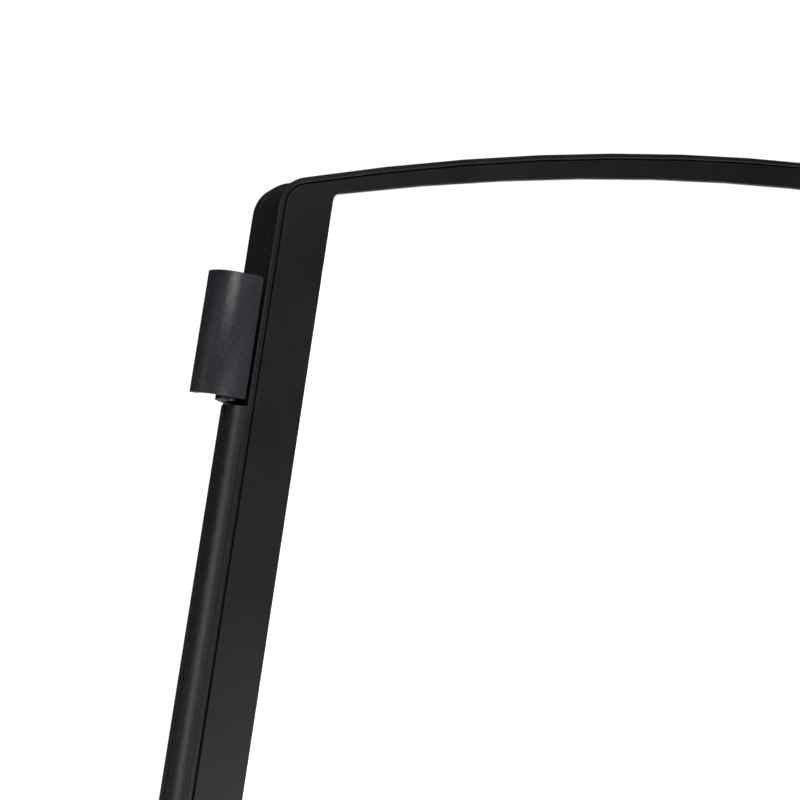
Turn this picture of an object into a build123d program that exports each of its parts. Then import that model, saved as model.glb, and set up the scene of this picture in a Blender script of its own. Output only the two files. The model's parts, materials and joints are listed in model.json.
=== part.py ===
"""Double-sided upright sign stand with an arched top and a hinged, lift-off front frame.

Millimetres. +Z is up, the front face looks along -Y, and the origin lies on the floor at the middle
of the whole stand. Depths run backwards from the front face, and insets run inwards from the outline.
"""

from build123d import *
import math
import os

os.makedirs("parts", exist_ok=True)

# ---- driving dimensions ---------------------------------------------------------------------------
total_height = 1500.0        # floor to the crown of the rear frame
frame_width = 760.0
side_height = 1000.0         # straight side, from the bottom edge to where the arch springs
arch_rise = 74.0
frame_depth = 30.0           # front face to rear face
member = 19.5                # visible width of the side and bottom members
opening_rise = 62.5          # rise of the flatter arch over the opening
opening_drop = 0.3           # the opening springs this far below the outline's arch
corner_radius = 11.5
rear_corner_radius = 13.5
rear_lift = 2.0              # the rear frame stands this much taller
opening_radius = 2.5

rim = 1.9                    # raised edge of each tray
bezel_inset = 2.4            # leaves a fine groove inside the rim
panel_inset = 4.5
flange_inset = 15.0
tray_depth = 7.4
flange_thickness = 1.5
bezel_front = 0.3
bezel_thickness = 1.6
cover_thickness = 1.0
sign_thickness = 1.0
backing_thickness = 2.0
edge_round = 0.35

post_inset = 34.0
post_width = 40.0
post_depth = 14.0
post_wall = 2.0
post_corner = 1.5
post_top_drop = 20.0         # from the springing of the arch down to the post's end
bar_height = 40.0
upper_bar_drop = 60.0
lower_bar_rise = 20.0
stretcher_rise = 76.0
cap_thickness = 2.0
cap_plug = 12.0
bumper_radius = 6.0
bumper_height = 2.2

foot_length = 480.0
foot_width = 60.0
foot_thickness = 10.0
pad_thickness = 4.0
pad_radius = 20.0
angle_leg = 40.0
angle_height = 50.0
angle_thickness = 4.0
bolt_radius = 4.0
bolt_head_radius = 7.0
bolt_head_height = 4.5
bolt_socket_radius = 3.0
post_bolt_rise = 32.0        # from the top of the foot to the bolt through the post
nut_radius = 7.2
nut_height = 6.0
bolt_end = 7.0               # bolt left beyond the rear angle

rail_radius = 11.2           # rounded edge along both sides, shared by the tray strips and the rails
rail_centre_inset = 5.4
rail_centre_depth = 10.2
rail_front = 0.6             # depth where the rounded edge starts
rail_gap = 0.6
rail_play = 0.5              # between the door's edge strips and the rails
rail_bore = 2.2
rail_drop = 2.3              # clear of the hinge arm
strip_thickness = 2.5
side_gap = 0.25              # between the front tray and whatever lies behind it

cover_length = 42.5          # hinge cover, along the hinge
cover_drop = 34.7            # from the springing of the arch to the top of the upper cover
cover_reach = 18.3
cover_radius = 9.3
cover_gap = 1.2
cover_wall = 2.4
cover_front = 0.5
pin_offset = 4.4             # hinge axis, outside the left side
pin_depth = 9.5
pin_radius = 2.0
arm_thickness = 1.9
arm_rise = 1.0               # top of the arm above the bottom of the cover
cover_skin = 2.0             # closed top of the cover
knuckle_top_gap = 4.0
plate_thickness = 2.5        # bracket plate and door tongue
hinge_screw_radius = 2.0
hinge_screw_parts = (0.3, 0.72)
lower_hinge_rise = 60.0      # from the bottom edge to the bottom of the lower cover

latch_inset = 11.5
latch_heights = (250.0, 750.0)
latch_hole_radius = 5.0
spindle_radius = 3.0
play = 0.05                  # running clearance around pins and spindles

# ---- places worked out from them ------------------------------------------------------------------
rail_reach = rail_radius - rail_centre_inset
centre_x = (cover_reach - rail_reach) / 2
left_x = centre_x - frame_width / 2
right_x = centre_x + frame_width / 2
spring_z = total_height - rear_lift - arch_rise
bottom_z = spring_z - side_height
rear_web = frame_depth - tray_depth          # depth of the rear tray's inner face
post_front = rear_web - post_depth
floor_top = pad_thickness + foot_thickness
pin_x = left_x - pin_offset
upper_cover_z = spring_z - cover_drop - cover_length
lower_cover_z = bottom_z + lower_hinge_rise
hinges = {"upper": upper_cover_z, "lower": lower_cover_z}
latches = {"upper": bottom_z + latch_heights[1], "lower": bottom_z + latch_heights[0]}
rail_top = upper_cover_z - rail_drop
hinge_screw_zs = [cover_z + cover_length * part for cover_z in hinges.values() for part in hinge_screw_parts]
strip_drop = cover_drop - 1.7


def dep(depth):
    """Y of a depth behind the front face."""
    return depth - frame_depth / 2


def layer(depth):
    """Upright plane at a depth; an extrusion from it grows towards the front."""
    return Plane.XZ.offset(-dep(depth))


def side_x(inset, side):
    """X of an inset from the left (-1) or right (1) side."""
    return left_x + inset if side < 0 else right_x - inset


def arched_face(half_width, low, spring, rise, top_radius, low_radius):
    """Face with a straight bottom, upright sides and an arched top, in an upright plane."""
    with BuildSketch() as face:
        with BuildLine():
            ThreePointArc(
                (centre_x - half_width, spring),
                (centre_x, spring + rise),
                (centre_x + half_width, spring),
            )
            Polyline(
                (centre_x + half_width, spring),
                (centre_x + half_width, low),
                (centre_x - half_width, low),
                (centre_x - half_width, spring),
            )
        make_face()
        corners = face.vertices().group_by(Axis.Y)
        fillet(corners[-1], top_radius)
        fillet(face.vertices().group_by(Axis.Y)[0], low_radius)
    return face.sketch


def outline(inset=0.0, lift=0.0, radius=corner_radius):
    """Outline of a tray, moved inwards by the inset."""
    whole = arched_face(frame_width / 2, bottom_z, spring_z + lift, arch_rise, radius, radius)
    if inset == 0:
        return whole
    return offset(whole, amount=-inset, kind=Kind.INTERSECTION, mode=Mode.PRIVATE)


def opening():
    """Opening that shows the sign."""
    return arched_face(
        frame_width / 2 - member,
        bottom_z + member,
        spring_z - opening_drop,
        opening_rise,
        opening_radius,
        opening_radius,
    )


def save(builder, name):
    """Label a finished piece and write it."""
    builder.part.label = name
    export_step(builder.part, f"parts/{name}.step")


# ---- the two trays and what each one holds ---------------------------------------------------------
latch_holes = [(side_x(latch_inset, 1), z) for z in latches.values()]
cover_back = bezel_front + bezel_thickness + cover_thickness
sign_back = cover_back + sign_thickness
backing_back = sign_back + backing_thickness

with BuildPart() as front_frame:
    with BuildSketch(layer(tray_depth)):
        add(outline())
        add(outline(flange_inset), mode=Mode.SUBTRACT)
        with Locations(*latch_holes):
            Circle(latch_hole_radius, mode=Mode.SUBTRACT)
    extrude(amount=flange_thickness)
    with BuildSketch(layer(tray_depth - flange_thickness)):
        add(outline())
        add(outline(rim), mode=Mode.SUBTRACT)
    extrude(amount=tray_depth - flange_thickness)
    chamfer(front_frame.faces().sort_by(Axis.Y)[0].edges(), edge_round)
save(front_frame, "front_frame")

with BuildPart() as front_bezel:
    with BuildSketch(layer(bezel_front + bezel_thickness)):
        add(outline(bezel_inset))
        add(opening(), mode=Mode.SUBTRACT)
        with Locations(*latch_holes):
            Circle(latch_hole_radius, mode=Mode.SUBTRACT)
    extrude(amount=bezel_thickness)
    chamfer(front_bezel.faces().sort_by(Axis.Y)[0].edges(), edge_round)
save(front_bezel, "front_bezel")

with BuildPart() as front_spacer:
    with BuildSketch(layer(backing_back)):
        add(outline(rim))
        add(outline(panel_inset), mode=Mode.SUBTRACT)
    extrude(amount=backing_back - bezel_front - bezel_thickness)
save(front_spacer, "front_spacer")

front_sheets = {
    "front_cover": (cover_back, cover_thickness),
    "front_sign_panel": (sign_back, sign_thickness),
    "front_backing": (backing_back, backing_thickness),
}
for sheet_name, (sheet_back, sheet_thickness) in front_sheets.items():
    with BuildPart() as sheet:
        with BuildSketch(layer(sheet_back)):
            add(outline(panel_inset))
            with Locations(*latch_holes):
                Circle(latch_hole_radius, mode=Mode.SUBTRACT)
        extrude(amount=sheet_thickness)
    save(sheet, sheet_name)

post_screw_z = [bottom_z + side_height * part for part in (0.12, 0.38, 0.62, 0.88)]
post_screw_spots = [(side_x(post_inset + post_width / 2, side), z) for side in (-1, 1) for z in post_screw_z]
screw_radius = 2.5
frame_screw_slot = 1.2
frame_screw_head = 0.7

with BuildPart() as rear_frame:
    with BuildSketch(layer(rear_web + flange_thickness)):
        add(outline(0.0, rear_lift, rear_corner_radius))
        with Locations(*post_screw_spots):
            Circle(screw_radius, mode=Mode.SUBTRACT)
    extrude(amount=flange_thickness)
    with BuildSketch(layer(frame_depth)):
        add(outline(0.0, rear_lift, rear_corner_radius))
        add(outline(rim, rear_lift, rear_corner_radius), mode=Mode.SUBTRACT)
    extrude(amount=tray_depth - flange_thickness)
    chamfer(rear_frame.faces().sort_by(Axis.Y)[-1].edges(), edge_round)
save(rear_frame, "rear_frame")

with BuildPart() as rear_bezel:
    with BuildSketch(layer(frame_depth - bezel_front)):
        add(outline(bezel_inset, rear_lift, rear_corner_radius))
        add(opening(), mode=Mode.SUBTRACT)
    extrude(amount=bezel_thickness)
    chamfer(rear_bezel.faces().sort_by(Axis.Y)[-1].edges(), edge_round)
save(rear_bezel, "rear_bezel")

with BuildPart() as rear_spacer:
    with BuildSketch(layer(frame_depth - bezel_front - bezel_thickness)):
        add(outline(rim, rear_lift, rear_corner_radius))
        add(outline(panel_inset, rear_lift, rear_corner_radius), mode=Mode.SUBTRACT)
    extrude(amount=backing_back - bezel_front - bezel_thickness)
save(rear_spacer, "rear_spacer")

rear_sheets = {
    "rear_cover": (frame_depth - bezel_front - bezel_thickness, cover_thickness),
    "rear_sign_panel": (frame_depth - cover_back, sign_thickness),
    "rear_backing": (frame_depth - sign_back, backing_thickness),
}
for sheet_name, (sheet_back, sheet_thickness) in rear_sheets.items():
    with BuildPart() as sheet:
        with BuildSketch(layer(sheet_back)):
            add(outline(panel_inset, rear_lift, rear_corner_radius))
        extrude(amount=sheet_thickness)
    save(sheet, sheet_name)

# ---- core between the trays ------------------------------------------------------------------------
post_length = spring_z - post_top_drop - floor_top
post_mid_y = dep(post_front + post_depth / 2)
post_bolt_z = floor_top + post_bolt_rise

for side, post_name in ((-1, "left_post"), (1, "right_post")):
    post_x = side_x(post_inset + post_width / 2, side)
    with BuildPart() as post:
        with BuildSketch(Plane.XY.offset(floor_top)):
            with Locations((post_x, post_mid_y)):
                RectangleRounded(post_width, post_depth, post_corner)
                Rectangle(post_width - 2 * post_wall, post_depth - 2 * post_wall, mode=Mode.SUBTRACT)
        extrude(amount=post_length)
        with BuildSketch(layer(rear_web)):
            with Locations(*[(post_x, z) for z in post_screw_z]):
                Circle(screw_radius)
            with Locations((post_x, post_bolt_z)):
                Circle(bolt_radius)
        extrude(amount=post_depth, mode=Mode.SUBTRACT)
    save(post, post_name)

with BuildPart() as post_caps:
    for side in (-1, 1):
        post_x = side_x(post_inset + post_width / 2, side)
        with BuildSketch(Plane.XY.offset(floor_top + post_length)):
            with Locations((post_x, post_mid_y)):
                RectangleRounded(post_width, post_depth, post_corner)
        extrude(amount=cap_thickness)
        with BuildSketch(Plane.XY.offset(floor_top + post_length - cap_plug)):
            with Locations((post_x, post_mid_y)):
                Rectangle(post_width - 2 * post_wall, post_depth - 2 * post_wall)
        extrude(amount=cap_plug)
save(post_caps, "post_caps")

bar_length = frame_width - 2 * (post_inset + post_width)
bars = {
    "upper_crossbar": spring_z - upper_bar_drop,
    "middle_crossbar": bottom_z + side_height / 2 - bar_height / 2,
    "lower_crossbar": bottom_z + lower_bar_rise,
    "base_stretcher": floor_top + stretcher_rise,
}
for bar_name, bar_z in bars.items():
    with BuildPart() as bar:
        with BuildSketch(Plane.YZ.offset(centre_x - bar_length / 2)):
            with Locations((post_mid_y, bar_z + bar_height / 2)):
                RectangleRounded(post_depth, bar_height, post_corner)
                Rectangle(post_depth - 2 * post_wall, bar_height - 2 * post_wall, mode=Mode.SUBTRACT)
        extrude(amount=bar_length)
    save(bar, bar_name)

with BuildPart() as rear_frame_screws:
    for x, z in post_screw_spots:
        with BuildSketch(layer(rear_web + flange_thickness)):
            with Locations((x, z)):
                Circle(screw_radius)
        extrude(amount=flange_thickness + post_depth)
        with BuildSketch(layer(post_front)):
            with Locations((x, z)):
                Circle(2 * screw_radius)
                Rectangle(frame_screw_slot, 2 * screw_radius, mode=Mode.SUBTRACT)
        extrude(amount=frame_screw_head)
save(rear_frame_screws, "rear_frame_screws")

bumper_spots = [
    (side_x(post_inset + post_width / 2, side), bottom_z + side_height * part)
    for side in (-1, 1)
    for part in (0.06, 0.5, 0.94)
]
with BuildPart() as door_bumpers:
    with BuildSketch(layer(post_front)):
        with Locations(*bumper_spots):
            Circle(bumper_radius)
    extrude(amount=bumper_height)
    chamfer(door_bumpers.faces().group_by(Axis.Y)[0].edges(), 0.6)
save(door_bumpers, "door_bumpers")

# ---- strips and rails that close the edge between the trays ----------------------------------------
strip_front = tray_depth + side_gap
with BuildPart() as top_bridge:
    with BuildSketch(layer(rear_web)):
        add(outline())
        add(outline(strip_thickness), mode=Mode.SUBTRACT)
        with Locations((centre_x, spring_z - strip_drop)):
            Rectangle(2 * frame_width, 4 * side_height, align=(Align.CENTER, Align.MAX), mode=Mode.SUBTRACT)
    extrude(amount=rear_web - strip_front)
save(top_bridge, "top_bridge")

bottom_strip_top = lower_cover_z - 2.0
with BuildPart() as bottom_bridge:
    with BuildSketch(layer(rear_web)):
        add(outline())
        add(outline(strip_thickness), mode=Mode.SUBTRACT)
        with Locations((centre_x, bottom_strip_top)):
            Rectangle(2 * frame_width, 4 * side_height, align=(Align.CENTER, Align.MIN), mode=Mode.SUBTRACT)
    extrude(amount=rear_web - strip_front)
    for side in (-1, 1):
        with BuildSketch(Plane.XY.offset(bottom_z)):
            with Locations((side_x(post_inset + post_width / 2, side), post_mid_y)):
                Rectangle(post_width + 0.4, post_depth + 0.4)
        extrude(amount=2 * strip_thickness, mode=Mode.SUBTRACT)
save(bottom_bridge, "bottom_bridge")

rail_stem = 6.0
stem_mid = (strip_front + rear_web) / 2
rails = {
    "left": (-1, lower_cover_z + cover_length + 1.5, rail_top),
    "right": (1, bottom_strip_top + side_gap, spring_z - strip_drop - side_gap),
}
for rail_side, (side, rail_low, rail_high) in rails.items():
    with BuildPart() as rail:
        with BuildSketch(Plane.XY.offset(rail_low)):
            with Locations((side_x(rail_centre_inset, side), dep(rail_centre_depth))):
                Circle(rail_radius)
            with Locations((side_x(rail_radius - rail_gap, side), dep(rail_centre_depth))):
                Rectangle(2 * rail_radius, 2 * rail_radius, mode=Mode.SUBTRACT)
            with Locations((side_x(0.0, side), dep(tray_depth + rail_play))):
                Rectangle(2 * rail_radius, rail_radius, align=(Align.CENTER, Align.MAX), mode=Mode.SUBTRACT)
            with Locations((side_x(rail_stem / 2 - rail_gap, side), dep(stem_mid))):
                Rectangle(rail_stem, rear_web - strip_front - rail_gap / 2)
            with Locations((side_x(rail_stem / 4, side), dep(stem_mid))):
                Circle(rail_bore, mode=Mode.SUBTRACT)
        extrude(amount=rail_high - rail_low)
    save(rail, f"{rail_side}_rail")

    with BuildPart() as edge_strip:
        with BuildSketch(Plane.XY.offset(rail_low)):
            with Locations((side_x(rail_centre_inset, side), dep(rail_centre_depth))):
                Circle(rail_radius)
            with Locations((side_x(rail_radius, side), dep(rail_centre_depth))):
                Rectangle(2 * rail_radius, 2 * rail_radius, mode=Mode.SUBTRACT)
            with Locations((side_x(0.0, side), dep(tray_depth))):
                Rectangle(2 * rail_radius, 2 * rail_radius, 0, (Align.CENTER, Align.MIN), Mode.SUBTRACT)
            with Locations((side_x(0.0, side), dep(rail_front))):
                Rectangle(2 * rail_radius, rail_radius, align=(Align.CENTER, Align.MAX), mode=Mode.SUBTRACT)
        extrude(amount=rail_high - rail_low)
    save(edge_strip, f"{rail_side}_edge_strip")

# ---- lift-off hinges ---------------------------------------------------------------------------------
knuckle_radius = 4.4
bush_radius = 3.0
boss_radius = 4.5
cover_corner = 1.2
tongue_reach = 14.0
washer_thickness = 0.8
flange_reach = 18.0
flange_start = 0.5
bracket_screw_x = left_x + 10.0
tongue_screw_x = left_x + 9.0
bracket_screw_head = (3.6, 1.6)      # radius and height
tongue_screw_head = (3.4, 1.4)
cross_slot = 0.9
rib_width = 5.0
rib_thickness = 3.0
pin_y = dep(pin_depth)
nose_x = left_x - cover_reach + cover_radius
nose_y = dep(cover_front + cover_radius)
face_y = dep(cover_front)
cover_edge_x = left_x - cover_gap


def nose_arc(radius):
    """Quarter circle around the cover's nose, from its front to its left."""
    slant = radius * math.sqrt(0.5)
    ThreePointArc(
        (nose_x, nose_y - radius),
        (nose_x - slant, nose_y - slant),
        (nose_x - radius, nose_y),
    )


def cross_slots(length):
    """Cross recess of a hinge screw's head."""
    Rectangle(cross_slot, length, mode=Mode.SUBTRACT)
    Rectangle(length, cross_slot, mode=Mode.SUBTRACT)


for hinge_name, cover_z in hinges.items():
    arm_z = cover_z + arm_rise - arm_thickness
    knuckle_z = cover_z + arm_rise + washer_thickness + 2 * play
    cover_top = cover_z + cover_length
    knuckle_height = cover_top - knuckle_top_gap - knuckle_z
    screw_zs = [cover_z + cover_length * part for part in hinge_screw_parts]

    with BuildPart() as bracket:
        with BuildSketch(Plane.XY.offset(arm_z)):
            with Locations((pin_x, pin_y)):
                Circle(boss_radius)
            with BuildLine():
                Polyline(
                    (pin_x - boss_radius * 0.8, pin_y + boss_radius * 0.6),
                    (left_x + flange_start, dep(rear_web)),
                    (left_x + tongue_reach, dep(rear_web)),
                    (left_x + tongue_reach, pin_y + 1.0),
                    (pin_x, pin_y + 1.0),
                    close=True,
                )
            make_face()
            with Locations((pin_x, pin_y)):
                Circle(pin_radius, mode=Mode.SUBTRACT)
        extrude(amount=arm_thickness)
        with BuildSketch(Plane.XY.offset(arm_z)):
            with Locations((left_x + flange_start, dep(rear_web))):
                Rectangle(flange_reach, plate_thickness, align=(Align.MIN, Align.MAX))
        extrude(amount=cover_top - cover_skin - arm_z)
        with BuildSketch(layer(rear_web)):
            with Locations(*[(bracket_screw_x, z) for z in screw_zs]):
                Circle(hinge_screw_radius)
        extrude(amount=plate_thickness, mode=Mode.SUBTRACT)
    save(bracket, f"{hinge_name}_hinge_bracket")

    with BuildPart() as pin:
        with BuildSketch(Plane.XY.offset(arm_z)):
            with Locations((pin_x, pin_y)):
                Circle(pin_radius)
        extrude(amount=knuckle_height + arm_thickness)
        chamfer(pin.faces().sort_by(Axis.Z)[-1].edges(), 0.4 * pin_radius)
    save(pin, f"{hinge_name}_hinge_pin")

    with BuildPart() as knuckle:
        with BuildSketch(Plane.XY.offset(knuckle_z)):
            with Locations((pin_x, pin_y)):
                Circle(knuckle_radius)
            with Locations((pin_x, dep(tray_depth))):
                Rectangle(pin_offset + tongue_reach, plate_thickness, align=(Align.MIN, Align.MIN))
            with Locations((pin_x, pin_y)):
                Circle(bush_radius, mode=Mode.SUBTRACT)
        extrude(amount=knuckle_height)
        with BuildSketch(layer(tray_depth + plate_thickness)):
            with Locations(*[(tongue_screw_x, z) for z in screw_zs]):
                Circle(hinge_screw_radius)
        extrude(amount=plate_thickness, mode=Mode.SUBTRACT)
    save(knuckle, f"{hinge_name}_hinge_knuckle")

    inner = cover_radius - cover_wall
    with BuildPart() as cover:
        with BuildSketch(Plane.XY.offset(cover_z)):
            with BuildLine():
                Line((cover_edge_x, face_y), (nose_x, face_y))
                nose_arc(cover_radius)
                Line((nose_x - cover_radius, nose_y), (nose_x - inner, nose_y))
                nose_arc(inner)
                Line((nose_x, nose_y - inner), (cover_edge_x, nose_y - inner))
                Line((cover_edge_x, nose_y - inner), (cover_edge_x, face_y))
            make_face()
        extrude(amount=cover_length)
        with BuildSketch(Plane.XY.offset(cover_top - cover_skin)):
            with BuildLine():
                Line((cover_edge_x, face_y), (nose_x, face_y))
                nose_arc(cover_radius)
                Line((nose_x - cover_radius, nose_y), (cover_edge_x, nose_y))
                Line((cover_edge_x, nose_y), (cover_edge_x, face_y))
            make_face()
        extrude(amount=cover_skin)
        for z in screw_zs:
            with BuildSketch(Plane.XY.offset(z)):
                with Locations((pin_x, nose_y - inner - 0.2)):
                    Rectangle(rib_width, rib_thickness, align=(Align.CENTER, Align.MIN))
                with Locations((pin_x, pin_y)):
                    Circle(knuckle_radius, mode=Mode.SUBTRACT)
            extrude(amount=rib_thickness)
        fillet(cover.edges().filter_by(Axis.Y).group_by(Axis.Z)[-1].sort_by(Axis.X)[-1], cover_corner)
    save(cover, f"{hinge_name}_hinge_cover")

with BuildPart() as hinge_washers:
    for cover_z in hinges.values():
        with BuildSketch(Plane.XY.offset(cover_z + arm_rise)):
            with Locations((pin_x, pin_y)):
                Circle(knuckle_radius)
                Circle(pin_radius, mode=Mode.SUBTRACT)
        extrude(amount=washer_thickness)
save(hinge_washers, "hinge_washers")

with BuildPart() as hinge_bushes:
    for cover_z in hinges.values():
        bush_z = cover_z + arm_rise + washer_thickness + 2 * play
        with BuildSketch(Plane.XY.offset(bush_z)):
            with Locations((pin_x, pin_y)):
                Circle(bush_radius)
                Circle(pin_radius + play, mode=Mode.SUBTRACT)
        extrude(amount=cover_z + cover_length - knuckle_top_gap - bush_z)
save(hinge_bushes, "hinge_bushes")

hinge_screws = {
    "bracket_screws": (bracket_screw_x, rear_web, rear_web - plate_thickness, bracket_screw_head),
    "knuckle_screws": (
        tongue_screw_x,
        tray_depth + plate_thickness,
        tray_depth + plate_thickness + tongue_screw_head[1],
        tongue_screw_head,
    ),
}
for screws_name, (screw_x, shank_back, head_back, (head_radius, head_height)) in hinge_screws.items():
    spots = [(screw_x, z) for z in hinge_screw_zs]
    with BuildPart() as screws:
        with BuildSketch(layer(shank_back)):
            with Locations(*spots):
                Circle(hinge_screw_radius)
        extrude(amount=plate_thickness)
        with BuildSketch(layer(head_back)):
            with Locations(*spots):
                Circle(head_radius)
                cross_slots(1.24 * head_radius)
        extrude(amount=head_height)
    save(screws, screws_name)

# ---- quarter-turn latches on the right side --------------------------------------------------------
latch_x = side_x(latch_inset, 1)
cam_front = 9.5
cam_thickness = 2.0
cam_length = 19.0
cam_half_width = 4.0
strike_front = 7.9
strike_thickness = 1.2
strike_leg = 12.0
strike_height = 18.0
spindle_end = 3.0            # spindle left behind the cam
head_front = -1.0            # rear of the knob's head, in front of the face
head_radius = 6.5
head_height = 1.6
grip_length = 11.0
grip_width = 3.6
grip_height = 4.0
latch_nut_radius = 4.8
latch_nut_height = 2.4
body_back = 8.2
body_flange = 0.9

for latch_name, latch_z in latches.items():
    with BuildPart() as knob:
        with BuildSketch(layer(cam_front + cam_thickness + spindle_end)):
            with Locations((latch_x, latch_z)):
                Circle(spindle_radius)
        extrude(amount=cam_front + cam_thickness + spindle_end - head_front)
        with BuildSketch(layer(head_front)):
            with Locations((latch_x, latch_z)):
                Circle(head_radius)
        extrude(amount=head_height)
        chamfer(knob.faces().sort_by(Axis.Y)[0].edges(), 0.5)
        with BuildSketch(layer(head_front - head_height)):
            with Locations((latch_x, latch_z)):
                SlotOverall(grip_length, grip_width, rotation=90)
        extrude(amount=grip_height)
        chamfer(knob.faces().sort_by(Axis.Y)[0].edges(), 0.6)
    save(knob, f"{latch_name}_latch_knob")

    with BuildPart() as cam:
        with BuildSketch(layer(cam_front + cam_thickness)):
            with Locations((latch_x, latch_z)):
                Circle(cam_half_width + 0.5)
                Rectangle(2 * cam_half_width, cam_length, align=(Align.CENTER, Align.MAX))
                Circle(spindle_radius, mode=Mode.SUBTRACT)
        extrude(amount=cam_thickness)
        chamfer(cam.edges().filter_by(Axis.Y).group_by(Axis.Z)[0], 2.0)
    save(cam, f"{latch_name}_latch_cam")

    with BuildPart() as nut:
        with BuildSketch(layer(cam_front + cam_thickness + latch_nut_height)):
            with Locations((latch_x, latch_z)):
                RegularPolygon(latch_nut_radius, 6)
                Circle(spindle_radius, mode=Mode.SUBTRACT)
        extrude(amount=latch_nut_height)
    save(nut, f"{latch_name}_latch_nut")

    with BuildPart() as strike:
        with BuildSketch(Plane.XY.offset(latch_z - strike_height / 2)):
            with Locations((side_x(post_inset, 1), dep(strike_front))):
                Rectangle(strike_leg, strike_thickness, align=(Align.MIN, Align.MIN))
                Rectangle(strike_thickness, strike_leg, align=(Align.MIN, Align.MIN))
        extrude(amount=strike_height)
    save(strike, f"{latch_name}_strike")

with BuildPart() as latch_bodies:
    with BuildSketch(layer(body_back)):
        with Locations(*latch_holes):
            Circle(latch_hole_radius)
            Circle(spindle_radius + play, mode=Mode.SUBTRACT)
    extrude(amount=body_back - bezel_front)
    with BuildSketch(layer(bezel_front)):
        with Locations(*latch_holes):
            Circle(head_radius)
            Circle(spindle_radius + play, mode=Mode.SUBTRACT)
    extrude(amount=body_flange)
save(latch_bodies, "latch_bodies")

strike_screw_depth = 16.0
strike_screw_rise = 5.0
strike_screw_radius = 2.4
strike_screw_head = 0.9
strike_screw_spots = [
    (dep(strike_screw_depth), z + way * strike_screw_rise) for z in latches.values() for way in (-1, 1)
]
with BuildPart() as strike_screws:
    with BuildSketch(Plane.YZ.offset(side_x(post_inset, 1) + strike_thickness)):
        with Locations(*strike_screw_spots):
            Circle(strike_screw_radius)
            Rectangle(0.7, 1.25 * strike_screw_radius, mode=Mode.SUBTRACT)
    extrude(amount=strike_screw_head)
save(strike_screws, "strike_screws")

# ---- feet ---------------------------------------------------------------------------------------------
angle_bolt_y = 26.0
post_front_y = dep(post_front)
post_rear_y = dep(rear_web)
for side, side_name in ((-1, "left"), (1, "right")):
    post_x = side_x(post_inset + post_width / 2, side)
    bolt_spots = [(post_x, post_front_y - angle_bolt_y), (post_x, post_rear_y + angle_bolt_y)]
    with BuildPart() as foot:
        with BuildSketch(Plane.XY.offset(pad_thickness)):
            with Locations((post_x, 0)):
                SlotOverall(foot_length, foot_width, rotation=90)
            with Locations(*bolt_spots):
                Circle(bolt_radius, mode=Mode.SUBTRACT)
        extrude(amount=foot_thickness)
        chamfer(foot.faces().sort_by(Axis.Z)[-1].outer_wire().edges(), 2.0)
    save(foot, f"{side_name}_foot")

    with BuildPart() as angles:
        for way, wall_y in ((-1, post_front_y), (1, post_rear_y)):
            with BuildSketch(Plane.YZ.offset(post_x - post_width / 2)):
                with BuildLine():
                    Polyline(
                        (wall_y, floor_top),
                        (wall_y + way * angle_leg, floor_top),
                        (wall_y + way * angle_leg, floor_top + angle_thickness),
                        (wall_y + way * angle_thickness, floor_top + angle_thickness),
                        (wall_y + way * angle_thickness, floor_top + angle_height),
                        (wall_y, floor_top + angle_height),
                        close=True,
                    )
                make_face()
            extrude(amount=post_width)
        with BuildSketch(Plane.XY.offset(floor_top)):
            with Locations(*bolt_spots):
                Circle(bolt_radius)
        extrude(amount=angle_thickness, mode=Mode.SUBTRACT)
        with BuildSketch(layer(rear_web + angle_thickness)):
            with Locations((post_x, post_bolt_z)):
                Circle(bolt_radius)
        extrude(amount=post_depth + 2 * angle_thickness, mode=Mode.SUBTRACT)
        chamfer(angles.edges().filter_by(Axis.Y).group_by(Axis.Z)[-1], 6.0)
    save(angles, f"{side_name}_foot_angles")

pad_reach = foot_length / 2 - foot_width / 2
with BuildPart() as foot_pads:
    with BuildSketch():
        with Locations(
            *[
                (side_x(post_inset + post_width / 2, side), way * pad_reach)
                for side in (-1, 1)
                for way in (-1, 1)
            ]
        ):
            Circle(pad_radius)
    extrude(amount=pad_thickness)
    chamfer(foot_pads.faces().group_by(Axis.Z)[0].edges(), 0.8)
save(foot_pads, "foot_pads")

all_bolt_spots = [
    (side_x(post_inset + post_width / 2, side), y)
    for side in (-1, 1)
    for y in (post_front_y - angle_bolt_y, post_rear_y + angle_bolt_y)
]
with BuildPart() as foot_bolts:
    with BuildSketch(Plane.XY.offset(pad_thickness)):
        with Locations(*all_bolt_spots):
            Circle(bolt_radius)
    extrude(amount=foot_thickness + angle_thickness)
    with BuildSketch(Plane.XY.offset(floor_top + angle_thickness)):
        with Locations(*all_bolt_spots):
            Circle(bolt_head_radius)
            RegularPolygon(bolt_socket_radius, 6, mode=Mode.SUBTRACT)
    extrude(amount=bolt_head_height)
save(foot_bolts, "foot_bolts")

post_bolt_spots = [(side_x(post_inset + post_width / 2, side), post_bolt_z) for side in (-1, 1)]
post_nut_depth = rear_web + angle_thickness
with BuildPart() as post_bolts:
    with BuildSketch(layer(post_nut_depth + bolt_end)):
        with Locations(*post_bolt_spots):
            Circle(bolt_radius)
    extrude(amount=post_nut_depth + bolt_end - post_front + angle_thickness)
    with BuildSketch(layer(post_front - angle_thickness)):
        with Locations(*post_bolt_spots):
            Circle(bolt_head_radius)
            RegularPolygon(bolt_socket_radius, 6, mode=Mode.SUBTRACT)
    extrude(amount=bolt_head_height)
save(post_bolts, "post_bolts")

with BuildPart() as post_nuts:
    with BuildSketch(layer(post_nut_depth + nut_height)):
        with Locations(*post_bolt_spots):
            RegularPolygon(nut_radius, 6)
            Circle(bolt_radius, mode=Mode.SUBTRACT)
    extrude(amount=nut_height)
save(post_nuts, "post_nuts")
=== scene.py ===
"""Looks of the sign stand: materials, fine mesh detail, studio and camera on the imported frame."""
import bmesh
import bpy
import json
import math
import random
from mathutils import Matrix, Vector


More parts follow.
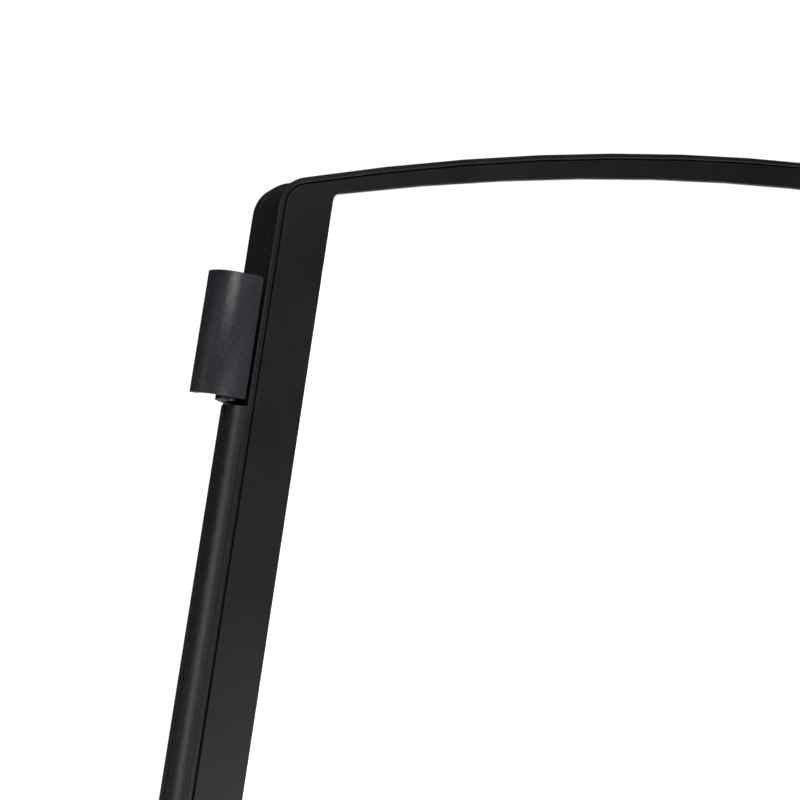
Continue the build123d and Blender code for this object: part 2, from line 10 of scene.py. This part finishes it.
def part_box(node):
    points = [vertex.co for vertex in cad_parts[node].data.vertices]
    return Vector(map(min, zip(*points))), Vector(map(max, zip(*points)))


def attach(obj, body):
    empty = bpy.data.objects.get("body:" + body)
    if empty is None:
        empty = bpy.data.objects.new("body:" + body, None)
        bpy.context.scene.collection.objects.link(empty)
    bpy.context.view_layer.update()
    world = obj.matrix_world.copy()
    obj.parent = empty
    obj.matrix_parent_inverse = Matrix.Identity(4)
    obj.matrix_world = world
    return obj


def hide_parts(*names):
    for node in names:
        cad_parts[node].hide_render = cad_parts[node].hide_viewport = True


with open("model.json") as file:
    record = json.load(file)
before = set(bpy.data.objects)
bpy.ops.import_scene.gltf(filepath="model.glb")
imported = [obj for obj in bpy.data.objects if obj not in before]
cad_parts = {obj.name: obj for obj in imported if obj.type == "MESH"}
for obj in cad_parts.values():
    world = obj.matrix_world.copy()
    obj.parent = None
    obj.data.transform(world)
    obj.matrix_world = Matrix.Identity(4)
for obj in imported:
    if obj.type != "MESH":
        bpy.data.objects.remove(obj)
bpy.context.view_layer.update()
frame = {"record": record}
MM = 0.001
scene = bpy.context.scene


def node_box(name):
    """Lowest and highest corner of a CAD node at rest, as vectors."""
    low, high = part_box(name)
    return Vector(low), Vector(high)


FRAME_LOW, FRAME_HIGH = node_box("front_frame")
ARCH_RISE = 74 * MM


# ---- materials ---------------------------------------------------------------------------------------
class Nodes:
    """Small helper around one material's node tree."""

    def __init__(self, name):
        self.material = bpy.data.materials.new(name)
        self.material.use_nodes = True
        self.tree = self.material.node_tree
        self.shader = self.tree.nodes["Principled BSDF"]
        self.coords = self.tree.nodes.new("ShaderNodeTexCoord").outputs["Object"]

    def set(self, **values):
        for key, value in values.items():
            self.shader.inputs[key.replace("_", " ")].default_value = value

    def link(self, source, target):
        self.tree.links.new(source, target)

    def mapped(self, scale):
        """Object coordinates stretched by a scale per axis."""
        mapping = self.tree.nodes.new("ShaderNodeMapping")
        mapping.inputs["Scale"].default_value = scale
        self.link(self.coords, mapping.inputs["Vector"])
        return mapping.outputs["Vector"]

    def noise(self, scale, detail=4.0, roughness=0.55, vector=None):
        node = self.tree.nodes.new("ShaderNodeTexNoise")
        node.inputs["Scale"].default_value = scale
        node.inputs["Detail"].default_value = detail
        node.inputs["Roughness"].default_value = roughness
        self.link(vector or self.coords, node.inputs["Vector"])
        return node.outputs["Fac"]

    def cells(self, scale):
        node = self.tree.nodes.new("ShaderNodeTexVoronoi")
        node.feature = "SMOOTH_F1"
        node.inputs["Scale"].default_value = scale
        self.link(self.coords, node.inputs["Vector"])
        return node.outputs["Distance"]

    def spread(self, fac, low, high, start=0.3, end=0.7):
        """Map a 0-1 factor to a range of values."""
        node = self.tree.nodes.new("ShaderNodeMapRange")
        node.inputs["From Min"].default_value = start
        node.inputs["From Max"].default_value = end
        node.inputs["To Min"].default_value = low
        node.inputs["To Max"].default_value = high
        self.link(fac, node.inputs["Value"])
        return node.outputs["Result"]

    def blend(self, fac, dark, light, start=0.3, end=0.7):
        """Two colours mixed by a factor."""
        node = self.tree.nodes.new("ShaderNodeMix")
        node.data_type = "RGBA"
        self.link(self.spread(fac, 0.0, 1.0, start, end), node.inputs["Factor"])
        for socket, colour in (("A", dark), ("B", light)):
            target = [i for i in node.inputs if i.name == socket and i.type == "RGBA"][0]
            if hasattr(colour, "is_output"):
                self.link(colour, target)
            else:
                target.default_value = (*colour, 1.0)
        return [o for o in node.outputs if o.type == "RGBA"][0]

    def add(self, first, second):
        node = self.tree.nodes.new("ShaderNodeMath")
        node.operation = "ADD"
        self.link(first, node.inputs[0])
        self.link(second, node.inputs[1])
        return node.outputs[0]

    def bump(self, height, strength, distance, rounding=0.0):
        """Bump from a height, over edges that are rounded by a radius."""
        node = self.tree.nodes.new("ShaderNodeBump")
        node.inputs["Strength"].default_value = strength
        node.inputs["Distance"].default_value = distance
        self.link(height, node.inputs["Height"])
        if rounding:
            bevel = self.tree.nodes.new("ShaderNodeBevel")
            bevel.samples = 4
            bevel.inputs["Radius"].default_value = rounding
            self.link(bevel.outputs["Normal"], node.inputs["Normal"])
        self.link(node.outputs["Normal"], self.shader.inputs["Normal"])

    def edge_wear(self, radius):
        """Factor that rises on convex edges, broken up by noise."""
        bevel = self.tree.nodes.new("ShaderNodeBevel")
        bevel.samples = 4
        bevel.inputs["Radius"].default_value = radius
        geometry = self.tree.nodes.new("ShaderNodeNewGeometry")
        dot = self.tree.nodes.new("ShaderNodeVectorMath")
        dot.operation = "DOT_PRODUCT"
        self.link(bevel.outputs["Normal"], dot.inputs[0])
        self.link(geometry.outputs["Normal"], dot.inputs[1])
        return self.spread(dot.outputs["Value"], 1.0, 0.0, 0.86, 0.99)


def powder_coat(name, dark, light, worn, grain=1500.0, rough=(0.36, 0.46)):
    """Satin powder coat: orange peel, fine grain, faint cloudiness and rubbed edges."""
    n = Nodes(name)
    cloud = n.noise(9.0, 5.0)
    fine = n.noise(grain, 2.0, 0.7)
    peel = n.cells(grain * 0.35)
    base = n.blend(n.add(cloud, n.spread(fine, -0.35, 0.35)), dark, light, 0.2, 0.9)
    wear = n.edge_wear(0.5 * MM)
    patch = n.noise(60.0, 6.0, 0.7)
    mask = n.tree.nodes.new("ShaderNodeMath")
    mask.operation = "MULTIPLY"
    n.link(wear, mask.inputs[0])
    n.link(n.spread(patch, 0.15, 1.0, 0.35, 0.7), mask.inputs[1])
    colour = n.blend(mask.outputs[0], base, worn, 0.0, 1.0)
    n.link(colour, n.shader.inputs["Base Color"])
    n.link(n.spread(n.noise(35.0, 6.0, 0.65), *rough), n.shader.inputs["Roughness"])
    n.bump(n.add(fine, n.spread(peel, 0.0, 0.8, 0.0, 1.0)), 0.35, 0.05 * MM, 0.12 * MM)
    n.set(Specular_IOR_Level=0.2)
    return n.material


def rail_coat():
    """Drawn rail: the same coat with faint lines along its length."""
    n = Nodes("rail_coat")
    lines = n.noise(1.0, 5.0, 0.6, n.mapped((900.0, 900.0, 12.0)))
    fine = n.noise(1500.0, 2.0, 0.75)
    cloud = n.noise(14.0, 4.0)
    dark = (0.0022, 0.0024, 0.0034)
    light = (0.005, 0.0054, 0.0068)
    base = n.blend(n.add(cloud, n.spread(fine, -0.4, 0.4)), dark, light, 0.1, 0.9)
    n.link(base, n.shader.inputs["Base Color"])
    n.link(n.spread(lines, 0.31, 0.41), n.shader.inputs["Roughness"])
    n.bump(n.add(fine, lines), 0.4, 0.05 * MM, 0.08 * MM)
    n.set(Specular_IOR_Level=0.42)
    return n.material


def moulded_plastic(name, dark, light, rough=(0.44, 0.56), spec=0.4):
    """Moulded plastic with a spark-eroded grain."""
    n = Nodes(name)
    grain = 1100.0
    fine = n.noise(grain, 3.0, 0.75)
    cloud = n.noise(25.0, 4.0)
    base = n.blend(n.add(cloud, n.spread(fine, -0.5, 0.5)), dark, light, 0.15, 0.85)
    n.link(base, n.shader.inputs["Base Color"])
    n.link(n.spread(n.noise(90.0, 5.0), *rough), n.shader.inputs["Roughness"])
    n.bump(n.add(fine, n.cells(grain * 0.6)), 0.7, 0.09 * MM, 0.4 * MM)
    n.set(Specular_IOR_Level=spec)
    return n.material


def metal(name, dark, light, rough=(0.22, 0.38)):
    """Bare or plated metal with fine machining lines and stains."""
    n = Nodes(name)
    lines = n.noise(1.0, 4.0, 0.6, n.mapped((1400.0, 1400.0, 30.0)))
    stain = n.noise(220.0, 6.0, 0.7)
    n.link(n.blend(n.add(stain, n.spread(lines, -0.2, 0.2)), dark, light), n.shader.inputs["Base Color"])
    n.link(n.spread(lines, *rough), n.shader.inputs["Roughness"])
    n.bump(lines, 0.25, 0.03 * MM, 0.15 * MM)
    n.set(Metallic=1.0)
    return n.material


def rubber():
    """Matt moulded rubber with a little dust."""
    n = Nodes("spacer_rubber")
    dust = n.noise(70.0, 6.0, 0.7)
    n.link(n.blend(dust, (0.011, 0.011, 0.012), (0.028, 0.027, 0.026)), n.shader.inputs["Base Color"])
    n.link(n.spread(dust, 0.66, 0.86), n.shader.inputs["Roughness"])
    n.bump(n.noise(900.0, 3.0), 0.4, 0.06 * MM, 0.3 * MM)
    n.set(Specular_IOR_Level=0.25)
    return n.material


def sign_board():
    """Blank white board: matt coating with a trace of fibre, and a faint painted glow that lifts the shade
    under its bezel to white.
    """
    n = Nodes("sign_board")
    fibre = n.noise(1.0, 5.0, 0.7, n.mapped((420.0, 420.0, 160.0)))
    tint = n.noise(5.0, 4.0)
    base = n.blend(n.add(tint, n.spread(fibre, -0.15, 0.15)), (0.945, 0.945, 0.95), (0.975, 0.975, 0.975))
    n.link(base, n.shader.inputs["Base Color"])
    n.link(n.spread(fibre, 0.52, 0.68), n.shader.inputs["Roughness"])
    n.bump(fibre, 0.12, 0.03 * MM)
    # painted light: the board glows faintly though it is no lamp, so the shade the bezel casts on it washes
    # out to white
    n.set(Specular_IOR_Level=0.3, Emission_Color=(1.0, 1.0, 1.0, 1.0), Emission_Strength=0.12)
    return n.material


def clear_sheet():
    """Clear anti-glare sheet: almost invisible, with a soft sheen."""
    n = Nodes("clear_sheet")
    haze = n.noise(300.0, 4.0)
    n.link(n.spread(haze, 0.34, 0.46), n.shader.inputs["Roughness"])
    n.bump(haze, 0.05, 0.02 * MM)
    n.set(Base_Color=(0.97, 0.98, 0.98, 1.0), Alpha=0.05, Specular_IOR_Level=0.4)
    n.material.surface_render_method = "BLENDED"
    return n.material


def foam_board():
    """Grey foamed backing board."""
    n = Nodes("foam_board")
    pores = n.cells(900.0)
    n.link(n.blend(n.noise(40.0, 5.0), (0.2, 0.2, 0.21), (0.28, 0.28, 0.29)), n.shader.inputs["Base Color"])
    n.link(n.spread(pores, 0.6, 0.8), n.shader.inputs["Roughness"])
    n.bump(pores, 0.3, 0.08 * MM)
    return n.material


BLACK_DARK = (0.0017, 0.0017, 0.0022)
BLACK_LIGHT = (0.0034, 0.0034, 0.0042)
WORN = (0.018, 0.018, 0.02)
MATERIALS = {
    "frame_black": powder_coat("frame_coat", BLACK_DARK, BLACK_LIGHT, WORN),
    "post_black": powder_coat("post_coat", BLACK_DARK, BLACK_LIGHT, WORN, grain=1100.0, rough=(0.4, 0.52)),
    "bracket_black": powder_coat("bracket_coat", BLACK_DARK, BLACK_LIGHT, (0.3, 0.3, 0.3)),
    "rail_black": rail_coat(),
    "hinge_grey": moulded_plastic(
        "hinge_plastic", (0.0055, 0.006, 0.0074), (0.0125, 0.0135, 0.016), rough=(0.38, 0.46), spec=0.18
    ),
    "cap_black": moulded_plastic("cap_plastic", (0.012, 0.012, 0.012), (0.022, 0.022, 0.022)),
    "bare_steel": metal("bare_steel", (0.42, 0.42, 0.43), (0.62, 0.62, 0.63)),
    "zinc_steel": metal("zinc_plate", (0.5, 0.52, 0.55), (0.72, 0.73, 0.75), (0.18, 0.34)),
    "screw_black": metal("black_oxide", (0.03, 0.03, 0.033), (0.07, 0.07, 0.075), (0.3, 0.45)),
    "bearing_bronze": metal("sintered_bronze", (0.4, 0.24, 0.1), (0.6, 0.4, 0.2), (0.35, 0.5)),
    "spacer_rubber": rubber(),
    "sign_white": sign_board(),
    "clear_sheet": clear_sheet(),
    "backing_grey": foam_board(),
}

SLOT_OF = {part["node"]: part["material_slot"] for part in frame["record"]["subparts"]}
BODY_OF = {node: body for body, nodes in frame["record"]["behaviour"]["bodies"].items() for node in nodes}
for node_name, slot_name in SLOT_OF.items():
    node_object = bpy.data.objects[node_name]
    for index in range(len(node_object.material_slots)):
        node_object.material_slots[index].material = MATERIALS[slot_name]


# ---- mesh detail ---------------------------------------------------------------------------------------
def place_piece(piece, node, replaced=()):
    """Show a finished piece with the finish and the motion of a CAD node, in place of the nodes named."""
    piece.data.materials.clear()
    piece.data.materials.append(MATERIALS[SLOT_OF[node]])
    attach(piece, BODY_OF[node])
    if replaced:
        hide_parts(*replaced)


def new_piece(name, bm, smooth=True):
    """Object made from a bmesh, which is freed."""
    mesh = bpy.data.meshes.new(name)
    bm.to_mesh(mesh)
    bm.free()
    if smooth:
        mesh.shade_smooth()
    piece = bpy.data.objects.new(name, mesh)
    scene.collection.objects.link(piece)
    return piece


def round_edges(piece, width, segments=2):
    """Bevel every edge sharper than 28 degrees and keep the flats flat."""
    bevel = piece.modifiers.new("rounded_edges", "BEVEL")
    bevel.width = width
    bevel.segments = segments
    bevel.limit_method = "ANGLE"
    bevel.angle_limit = math.radians(28.0)
    bevel.use_clamp_overlap = True
    bevel.harden_normals = True


def rounded_copy(node, width):
    """Copy of a CAD node with its triangles paired and its edges rounded, shown in its place."""
    bm = bmesh.new()
    bm.from_mesh(bpy.data.objects[node].data)
    bmesh.ops.remove_doubles(bm, verts=bm.verts, dist=0.001 * MM)
    bmesh.ops.join_triangles(
        bm,
        faces=bm.faces,
        angle_face_threshold=math.radians(0.5),
        angle_shape_threshold=math.radians(180.0),
    )
    piece = new_piece(f"{node}_rounded", bm)
    round_edges(piece, width)
    place_piece(piece, node, [node])


ROUNDED = {
    0.3 * MM: (
        "upper_hinge_cover",
        "lower_hinge_cover",
        "upper_hinge_bracket",
        "lower_hinge_bracket",
        "upper_hinge_knuckle",
        "lower_hinge_knuckle",
        "upper_strike",
        "lower_strike",
    ),
    0.4 * MM: (
        "foot_bolts",
        "post_bolts",
        "post_nuts",
        "upper_latch_cam",
        "lower_latch_cam",
        "post_caps",
        "door_bumpers",
    ),
    0.8 * MM: ("left_foot", "right_foot", "left_foot_angles", "right_foot_angles"),
}
for edge_width, rounded_nodes in ROUNDED.items():
    for rounded_node in rounded_nodes:
        rounded_copy(rounded_node, edge_width)


def turned(bm, centre, axis, profile, steps, wave=None):
    """Surface of revolution: profile is (radius, height) pairs, wave changes a radius with its angle."""
    side = axis.orthogonal().normalized()
    across = axis.cross(side)
    rings = []
    for radius, height in profile:
        ring = []
        for step in range(steps):
            turn = 2 * math.pi * step / steps
            reach = wave(radius, height, turn) if wave else radius
            outward = side * math.cos(turn) + across * math.sin(turn)
            ring.append(bm.verts.new(centre + axis * height + outward * reach))
        rings.append(ring)
    for first, second in zip(rings, rings[1:]):
        for step in range(steps):
            after = (step + 1) % steps
            bm.faces.new((first[step], first[after], second[after], second[step]))
    bm.faces.new(list(reversed(rings[0])))
    bm.faces.new(rings[-1])


def knurl(reach, height, turn):
    """Forty fine ridges over the middle of a knob's rim."""
    ridge_height = 0.12 * MM
    on_rim = 0.4 * MM < height < 1.3 * MM
    return reach + (ridge_height * math.cos(40 * turn) if on_rim else 0.0)


def knob_heads():
    """Knurled ring around each latch knob's head."""
    for node in ("upper_latch_knob", "lower_latch_knob"):
        low, high = node_box(node)
        middle = (low + high) / 2
        radius = (high.x - low.x) / 2
        front = Vector((middle.x, low.y + 1.2 * MM, middle.z))
        profile = [
            (radius - 0.5 * MM, 0.1 * MM),
            (radius, 0.5 * MM),
            (radius, 0.9 * MM),
            (radius, 1.25 * MM),
            (radius - 0.1 * MM, 1.4 * MM),
        ]
        bm = bmesh.new()
        turned(bm, front, Vector((0.0, 1.0, 0.0)), profile, 320, knurl)
        place_piece(new_piece(f"{node}_knurl", bm), node)


def ribbed_pads():
    """Rubber pads with two grooves round the side, a cupped sole and a moulded lip."""
    low, high = node_box("foot_pads")
    radius = 20 * MM
    tall = high.z - low.z
    spots = [(x, y) for x in (low.x + radius, high.x - radius) for y in (low.y + radius, high.y - radius)]
    groove = 0.6 * MM
    profile = [
        (radius - 5 * MM, 0.5 * MM),
        (radius - 4 * MM, 0.0),
        (radius - 1.0 * MM, 0.0),
        (radius, 0.7 * MM),
        (radius, 0.27 * tall),
        (radius - groove, 0.32 * tall),
        (radius - groove, 0.4 * tall),
        (radius, 0.45 * tall),
        (radius, 0.57 * tall),
        (radius - groove, 0.62 * tall),
        (radius - groove, 0.7 * tall),
        (radius, 0.75 * tall),
        (radius, tall),
    ]
    bm = bmesh.new()
    for x, y in spots:
        turned(bm, Vector((x, y, low.z)), Vector((0.0, 0.0, 1.0)), profile, 72)
    piece = new_piece("foot_pads_ribbed", bm, smooth=False)
    round_edges(piece, 0.12 * MM, 1)
    place_piece(piece, "foot_pads", ["foot_pads"])


def weld_beads():
    """Short rippled beads above and below each crossbar, where it meets the posts."""
    rng = random.Random(7)
    steps, corners = 48, 12
    ripples = 9
    bead_radius = 2.0 * MM
    least_radius = 0.2 * MM
    post_low, post_high = node_box("left_post")
    depth = post_high.y - post_low.y
    for bar in ("upper_crossbar", "middle_crossbar", "lower_crossbar", "base_stretcher"):
        low, high = node_box(bar)
        bm = bmesh.new()
        for x in (low.x, high.x):
            for z in (low.z, high.z):
                rings = []
                for step in range(steps + 1):
                    along = step / steps
                    taper = min(1.0, 6 * along, 6 * (1 - along)) ** 0.5
                    ripple = 1.0 + 0.1 * math.sin(along * 2 * math.pi * ripples + rng.uniform(-0.2, 0.2))
                    reach = max(least_radius, bead_radius * taper * ripple)
                    y = post_low.y + depth * (0.06 + 0.88 * along)
                    ring = []
                    for corner in range(corners):
                        turn = 2 * math.pi * corner / corners
                        place = (x + reach * math.cos(turn), y, z + reach * math.sin(turn))
                        ring.append(bm.verts.new(place))
                    rings.append(ring)
                for first, second in zip(rings, rings[1:]):
                    for corner in range(corners):
                        after = (corner + 1) % corners
                        bm.faces.new((first[corner], first[after], second[after], second[corner]))
                bm.faces.new(list(reversed(rings[0])))
                bm.faces.new(rings[-1])
        place_piece(new_piece(f"{bar}_welds", bm), bar)


def clear_sheets():
    """Clear sheets with a hair of air between them and the sign boards behind them."""
    air = 0.15 * MM
    for node, way in (("front_cover", 1), ("rear_cover", -1)):
        low, high = node_box(node)
        bm = bmesh.new()
        bm.from_mesh(bpy.data.objects[node].data)
        middle = (low.y + high.y) / 2
        for vert in bm.verts:
            if (vert.co.y - middle) * way > 0:
                vert.co.y -= way * air
        place_piece(new_piece(f"{node}_sheet", bm, smooth=False), node, [node])


knob_heads()
ribbed_pads()
weld_beads()
clear_sheets()

# ---- studio --------------------------------------------------------------------------------------------
FLOOR_SIZE = 12.0
LAMP_AIM = Vector((FRAME_LOW.x, FRAME_LOW.y, FRAME_HIGH.z - 0.25))


def area_lamp(name, offset, size, power, aim=LAMP_AIM, glossy=True):
    """Soft box at an offset from the aimed point, facing it."""
    data = bpy.data.lights.new(name, "AREA")
    data.shape = "RECTANGLE"
    data.size, data.size_y = size
    data.energy = power
    lamp = bpy.data.objects.new(name, data)
    scene.collection.objects.link(lamp)
    lamp.visible_camera = False
    lamp.visible_glossy = glossy
    lamp.location = aim + Vector(offset)
    lamp.rotation_euler = (aim - lamp.location).to_track_quat("-Z", "Y").to_euler()


def pale_floor():
    """Pale floor, lifted to near white where the camera sees it."""
    mesh = bpy.data.meshes.new("floor")
    half = FLOOR_SIZE / 2
    corners = [(-half, -half, 0), (half, -half, 0), (half, half, 0), (-half, half, 0)]
    mesh.from_pydata(corners, [], [(0, 1, 2, 3)])
    floor = bpy.data.objects.new("floor", mesh)
    scene.collection.objects.link(floor)
    n = Nodes("floor_paint")
    n.link(n.blend(n.noise(2.0), (0.86, 0.86, 0.86), (0.9, 0.9, 0.9)), n.shader.inputs["Base Color"])
    n.set(Roughness=0.7, Emission_Color=(1.0, 1.0, 1.0, 1.0))
    seen = n.tree.nodes.new("ShaderNodeLightPath").outputs["Is Camera Ray"]
    n.link(n.spread(seen, 0.0, 0.9, 0.0, 1.0), n.shader.inputs["Emission Strength"])
    mesh.materials.append(n.material)


def surroundings():
    """White to the camera, and a dim fill for everything else."""
    world = bpy.data.worlds.new("studio_air")
    world.use_nodes = True
    scene.world = world
    tree = world.node_tree
    seen = tree.nodes.new("ShaderNodeBackground")
    seen.inputs["Color"].default_value = (1.0, 1.0, 1.0, 1.0)
    seen.inputs["Strength"].default_value = 1.05
    fill = tree.nodes["Background"]
    fill.inputs["Color"].default_value = (0.97, 0.98, 1.0, 1.0)
    fill.inputs["Strength"].default_value = 0.045
    rays = tree.nodes.new("ShaderNodeLightPath")
    mix = tree.nodes.new("ShaderNodeMixShader")
    tree.links.new(rays.outputs["Is Camera Ray"], mix.inputs["Fac"])
    tree.links.new(fill.outputs["Background"], mix.inputs[1])
    tree.links.new(seen.outputs["Background"], mix.inputs[2])
    tree.links.new(mix.outputs["Shader"], tree.nodes["World Output"].inputs["Surface"])


def studio():
    """Pale floor, white surroundings and soft boxes."""
    pale_floor()
    surroundings()
    area_lamp("key_box", (-0.75, -2.4, 2.1), (1.6, 1.4), 150.0)
    area_lamp("left_strip", (-1.9, -0.5, 0.0), (0.4, 1.6), 9.0)
    area_lamp("low_front_box", (1.2, -1.9, -1.05), (1.0, 0.5), 46.0)
    area_lamp("back_box", (2.4, 1.4, 2.0), (1.6, 1.2), 130.0)
    area_lamp("rear_box", (-0.6, 2.6, 0.2), (1.6, 1.6), 60.0, glossy=False)
    area_lamp("overhead_box", (0.4, 0.3, 2.4), (4.0, 4.0), 70.0, Vector((0.0, 0.3, 0.0)), glossy=False)


def camera():
    """Close view of the top left corner, from its left and below, with the camera rolled."""
    corner = Vector((FRAME_LOW.x, FRAME_LOW.y, FRAME_HIGH.z - ARCH_RISE))
    place = corner + Vector((-154.36, -485.72, -133.35)) * MM
    yaw, pitch, roll = (math.radians(a) for a in (23.34, 7.124, 8.176))
    ahead = Vector((math.sin(yaw) * math.cos(pitch), math.cos(yaw) * math.cos(pitch), math.sin(pitch)))
    level = Vector((math.cos(yaw), -math.sin(yaw), 0.0))
    upright = level.cross(ahead)
    right = level * math.cos(roll) + upright * math.sin(roll)
    up = right.cross(ahead)
    data = bpy.data.cameras.new("camera")
    data.sensor_width = 36.0
    data.lens = 67.67
    data.clip_start = 0.01
    obj = bpy.data.objects.new("camera", data)
    scene.collection.objects.link(obj)
    obj.matrix_world = Matrix.Translation(place) @ Matrix((right, up, -ahead)).transposed().to_4x4()
    scene.camera = obj


studio()
camera()
scene.view_settings.view_transform = "Standard"
scene.view_settings.look = "None"
